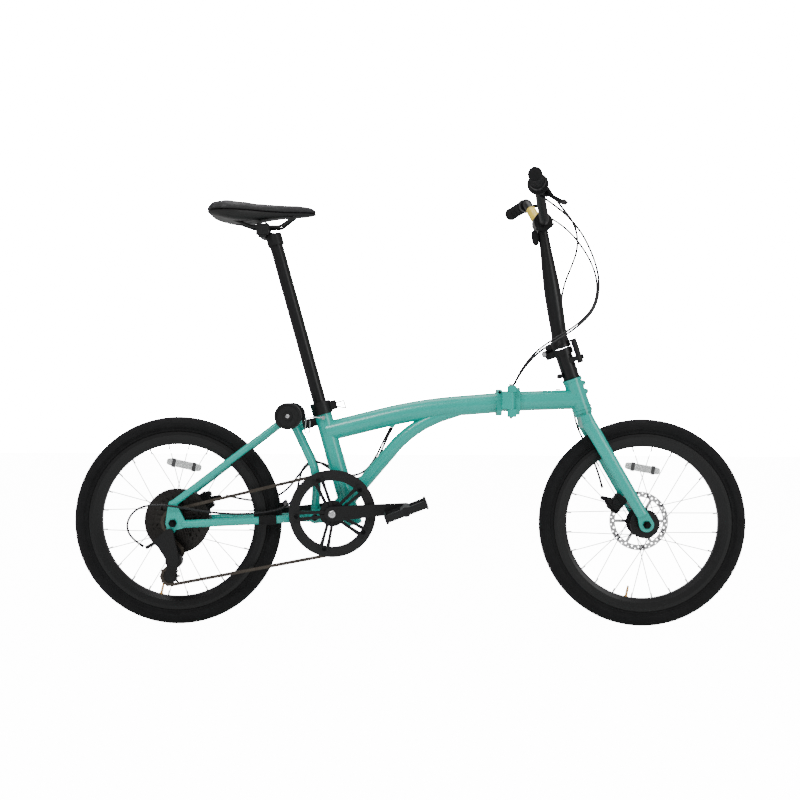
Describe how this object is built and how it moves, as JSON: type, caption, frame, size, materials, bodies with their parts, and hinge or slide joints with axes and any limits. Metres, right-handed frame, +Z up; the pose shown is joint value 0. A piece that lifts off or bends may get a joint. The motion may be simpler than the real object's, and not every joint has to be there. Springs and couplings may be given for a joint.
{
  "type": "folding bicycle",
  "caption": "Small-wheeled folding bicycle with a hinged arched frame, folding handlepost, swing-under rear frame, disc brakes, derailleur gear and platform pedals.",
  "frame": {"origin": "on the ground midway between the two wheel axles, in the middle plane", "axes": "+X forwards, +Y to the rider's left, +Z up"},
  "size_m": [1.5738, 0.5708, 1.0319],
  "materials": {
    "frame_paint": "gloss celeste paint",
    "black_metal": "satin black paint",
    "steel": "plated",
    "rotor_steel": "ground",
    "chain_steel": "oiled",
    "tyre_rubber": "moulded tread",
    "soft_rubber": "matt",
    "black_plastic": "fine grain",
    "cable_jacket": "smooth jacket",
    "saddle_skin": "grained synthetic"
  },
  "bodies": {
    "frame": {"main_frame": "frame_paint", "frame_pins": "steel", "seat_clamp": "black_metal", "fold_latch": "steel", "rear_brake_cable": "cable_jacket", "gear_cable": "cable_jacket"},
    "front_frame": {"front_frame": "frame_paint"},
    "hinge_lever": {"hinge_lever": "black_metal"},
    "steering": {"fork": "frame_paint", "stem_base": "black_metal", "stem_hinge_pin": "steel", "front_axle": "steel", "front_caliper": "black_metal", "front_brake_cable": "cable_jacket"},
    "front_brake_arm": {"front_brake_arm": "black_metal"},
    "front_wheel": {"front_tyre": "tyre_rubber", "front_rim": "black_metal", "front_spokes": "black_metal", "front_hub": "black_metal", "front_rotor": "rotor_steel"},
    "handlepost": {"handlepost": "black_metal", "handlebar": "black_metal", "bar_clamp": "black_metal", "grips": "soft_rubber", "lever_mounts": "black_metal"},
    "stem_latch": {"stem_latch": "black_metal"},
    "right_brake_lever": {"right_brake_lever": "black_metal"},
    "left_brake_lever": {"left_brake_lever": "black_metal"},
    "twist_shifter": {"twist_shifter": "black_plastic"},
    "seatpost": {"seatpost": "black_metal", "saddle_clamp": "black_metal", "saddle_rails": "steel", "saddle_shell": "black_plastic", "saddle_cover": "saddle_skin"},
    "seat_clamp_lever": {"seat_clamp_lever": "black_plastic"},
    "rear_frame": {"rear_frame": "frame_paint", "elastomer": "soft_rubber", "rear_caliper": "black_metal", "rear_axle": "steel", "derailleur_body": "black_metal", "chain": "chain_steel"},
    "rear_brake_arm": {"rear_brake_arm": "black_metal"},
    "roller_right": {"roller_right": "black_plastic"},
    "roller_left": {"roller_left": "black_plastic"},
    "derailleur_cage": {"derailleur_cage": "black_metal"},
    "guide_pulley": {"guide_pulley": "black_plastic"},
    "tension_pulley": {"tension_pulley": "black_plastic"},
    "rear_wheel": {"rear_tyre": "tyre_rubber", "rear_rim": "black_metal", "rear_spokes": "black_metal", "rear_hub": "black_metal", "rear_rotor": "rotor_steel"},
    "cassette": {"cassette": "steel"},
    "crank": {"crank_axle": "steel", "right_crank": "black_metal", "left_crank": "black_metal", "chainring": "black_metal", "chain_guard": "black_plastic"},
    "right_pedal": {"right_pedal": "black_plastic"},
    "left_pedal": {"left_pedal": "black_plastic"}
  },
  "joints": [
    {"name": "main_fold", "type": "hinge", "parent": "frame", "child": "front_frame", "pos_m": [0.232, -0.036, 0.526], "axis": [0, 0, -1], "range_deg": [0, 130], "deforming": ["rear_brake_cable", "gear_cable"]},
    {"name": "hinge_lever_turn", "type": "hinge", "parent": "front_frame", "child": "hinge_lever", "pos_m": [0.25, 0.038, 0.526], "axis": [0, 0, 1], "range_deg": [0, 120]},
    {"name": "steering", "type": "hinge", "parent": "front_frame", "child": "steering", "pos_m": [0.4045, 0, 0.5005], "axis": [0.3239, 0, -0.9461], "range_deg": [-60, 60]},
    {"name": "front_wheel_spin", "type": "hinge", "parent": "steering", "child": "front_wheel", "pos_m": [0.544, 0, 0.243], "axis": [0, 1, 0], "continuous": true},
    {"name": "front_brake_arm_turn", "type": "hinge", "parent": "steering", "child": "front_brake_arm", "pos_m": [0.48726, 0, 0.28733], "axis": [0, 1, 0], "range_deg": [0, 27]},
    {"name": "stem_fold", "type": "hinge", "parent": "steering", "child": "handlepost", "pos_m": [0.32542, 0.02065, 0.64043], "axis": [-0.5427, -0.8192, -0.1858], "range_deg": [0, 150], "deforming": ["front_brake_cable"]},
    {"name": "stem_latch_turn", "type": "hinge", "parent": "steering", "child": "stem_latch", "pos_m": [0.39159, -0.02065, 0.62926], "axis": [0.5427, 0.8192, 0.1858], "range_deg": [0, 110]},
    {"name": "right_brake_lever_squeeze", "type": "hinge", "parent": "handlepost", "child": "right_brake_lever", "pos_m": [0.30023, -0.13885, 0.99181], "axis": [-0.6393, 0.1039, -0.7619], "range_deg": [0, 17], "stiffness_Nm_per_rad": 0.6, "springref_deg": -17.19},
    {"name": "left_brake_lever_squeeze", "type": "hinge", "parent": "handlepost", "child": "left_brake_lever", "pos_m": [0.30023, 0.13885, 0.99181], "axis": [0.6393, 0.1039, 0.7619], "range_deg": [0, 17], "stiffness_Nm_per_rad": 0.6, "springref_deg": -17.19},
    {"name": "twist_shifter_turn", "type": "hinge", "parent": "handlepost", "child": "twist_shifter", "pos_m": [0.27598, -0.16935, 1.008], "axis": [-0.1604, -0.9871, 0], "range_deg": [0, 80]},
    {"name": "seatpost_slide", "type": "slide", "parent": "frame", "child": "seatpost", "axis": [-0.2723, 0, 0.9622], "range_m": [-0.34, 0]},
    {"name": "seat_clamp_lever_turn", "type": "hinge", "parent": "frame", "child": "seat_clamp_lever", "pos_m": [-0.17942, 0, 0.51613], "axis": [0, -1, 0], "range_deg": [0, 100]},
    {"name": "rear_fold", "type": "hinge", "parent": "frame", "child": "rear_frame", "pos_m": [-0.222, 0, 0.254], "axis": [0, -1, 0], "range_deg": [0, 120], "deforming": ["chain"]},
    {"name": "rear_brake_arm_turn", "type": "hinge", "parent": "rear_frame", "child": "rear_brake_arm", "pos_m": [-0.48575, 0, 0.28532], "axis": [0, -1, 0], "range_deg": [0, 27]},
    {"name": "roller_right_spin", "type": "hinge", "parent": "rear_frame", "child": "roller_right", "pos_m": [-0.283, -0.061, 0.489], "axis": [0, 1, 0], "continuous": true},
    {"name": "roller_left_spin", "type": "hinge", "parent": "rear_frame", "child": "roller_left", "pos_m": [-0.283, 0.061, 0.489], "axis": [0, 1, 0], "continuous": true},
    {"name": "rear_wheel_spin", "type": "hinge", "parent": "rear_frame", "child": "rear_wheel", "pos_m": [-0.544, 0, 0.243], "axis": [0, 1, 0], "continuous": true},
    {"name": "cassette_spin", "type": "hinge", "parent": "rear_frame", "child": "cassette", "pos_m": [-0.544, 0, 0.243], "axis": [0, 1, 0], "continuous": true},
    {"name": "derailleur_cage_turn", "type": "hinge", "parent": "rear_frame", "child": "derailleur_cage", "pos_m": [-0.541, 0, 0.158], "axis": [0, -1, 0], "range_deg": [0, 30], "stiffness_Nm_per_rad": 0.4, "springref_deg": -28.65},
    {"name": "guide_pulley_spin", "type": "hinge", "parent": "derailleur_cage", "child": "guide_pulley", "pos_m": [-0.545, 0, 0.173], "axis": [0, 1, 0], "continuous": true},
    {"name": "tension_pulley_spin", "type": "hinge", "parent": "derailleur_cage", "child": "tension_pulley", "pos_m": [-0.553, 0, 0.119], "axis": [0, 1, 0], "continuous": true},
    {"name": "crank_spin", "type": "hinge", "parent": "frame", "child": "crank", "pos_m": [-0.18, 0, 0.2655], "axis": [0, 1, 0], "continuous": true},
    {"name": "right_pedal_spin", "type": "hinge", "parent": "crank", "child": "right_pedal", "pos_m": [-0.01065, 0, 0.28032], "axis": [0, 1, 0], "continuous": true},
    {"name": "left_pedal_spin", "type": "hinge", "parent": "crank", "child": "left_pedal", "pos_m": [-0.34935, 0, 0.25068], "axis": [0, 1, 0], "continuous": true}
  ],
  "couplings": [
    {"joint": "front_brake_arm_turn", "follows": "right_brake_lever_squeeze", "ratio": 1.5},
    {"joint": "rear_brake_arm_turn", "follows": "left_brake_lever_squeeze", "ratio": 1.5},
    {"joint": "cassette_spin", "follows": "crank_spin", "ratio": 3.2857},
    {"joint": "guide_pulley_spin", "follows": "crank_spin", "ratio": -4.6},
    {"joint": "tension_pulley_spin", "follows": "crank_spin", "ratio": 4.6}
  ]
}
